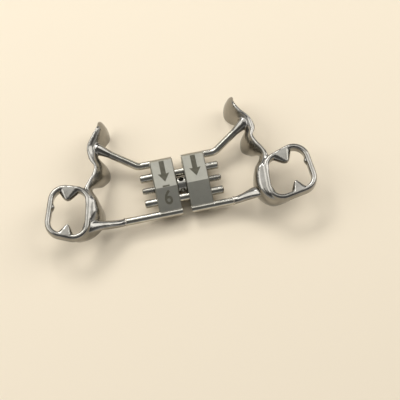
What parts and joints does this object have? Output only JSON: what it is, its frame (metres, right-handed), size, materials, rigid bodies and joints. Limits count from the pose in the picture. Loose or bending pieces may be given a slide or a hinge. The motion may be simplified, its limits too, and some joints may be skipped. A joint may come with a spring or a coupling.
{
  "type": "palatal expander",
  "caption": "Tooth-borne palatal expander: a double-threaded jackscrew on guide pins pushes its body halves apart; wire arms carry cast molar rings and leaf pads.",
  "frame": {"origin": "on the spindle's axis, in the middle of its head, where the crossed key holes meet", "axes": "+X along the spindle to the right half, +Y to the front teeth, +Z away from the palate"},
  "size_m": [0.05, 0.0235, 0.0065],
  "materials": {
    "spindle": "turned stainless steel",
    "pin": "smooth stainless steel",
    "body": "satin stainless steel",
    "wire": "smooth stainless steel",
    "frame": "mirror polished alloy"
  },
  "bodies": {
    "pins": {"guide_pin_front": "pin", "guide_pin_rear": "pin"},
    "spindle": {"spindle": "spindle"},
    "right_half": {"body_half_right": "body", "front_arm_right": "wire", "rear_arm_right": "wire", "frame_right": "frame"},
    "left_half": {"body_half_left": "body", "front_arm_left": "wire", "rear_arm_left": "wire", "frame_left": "frame"}
  },
  "joints": [
    {"name": "right_slide", "type": "slide", "parent": "pins", "child": "right_half", "axis": [1, 0, 0], "range_m": [0, 0.003]},
    {"name": "left_slide", "type": "slide", "parent": "pins", "child": "left_half", "axis": [-1, 0, 0], "range_m": [0, 0.003]},
    {"name": "spindle_turn", "type": "hinge", "parent": "pins", "child": "spindle", "pos_m": [0, 0, 0], "axis": [1, 0, 0], "range_deg": [0, 2701]}
  ],
  "couplings": [
    {"joint": "left_slide", "follows": "right_slide", "ratio": 1},
    {"joint": "spindle_turn", "follows": "right_slide", "rad_per_m": 15708}
  ]
}
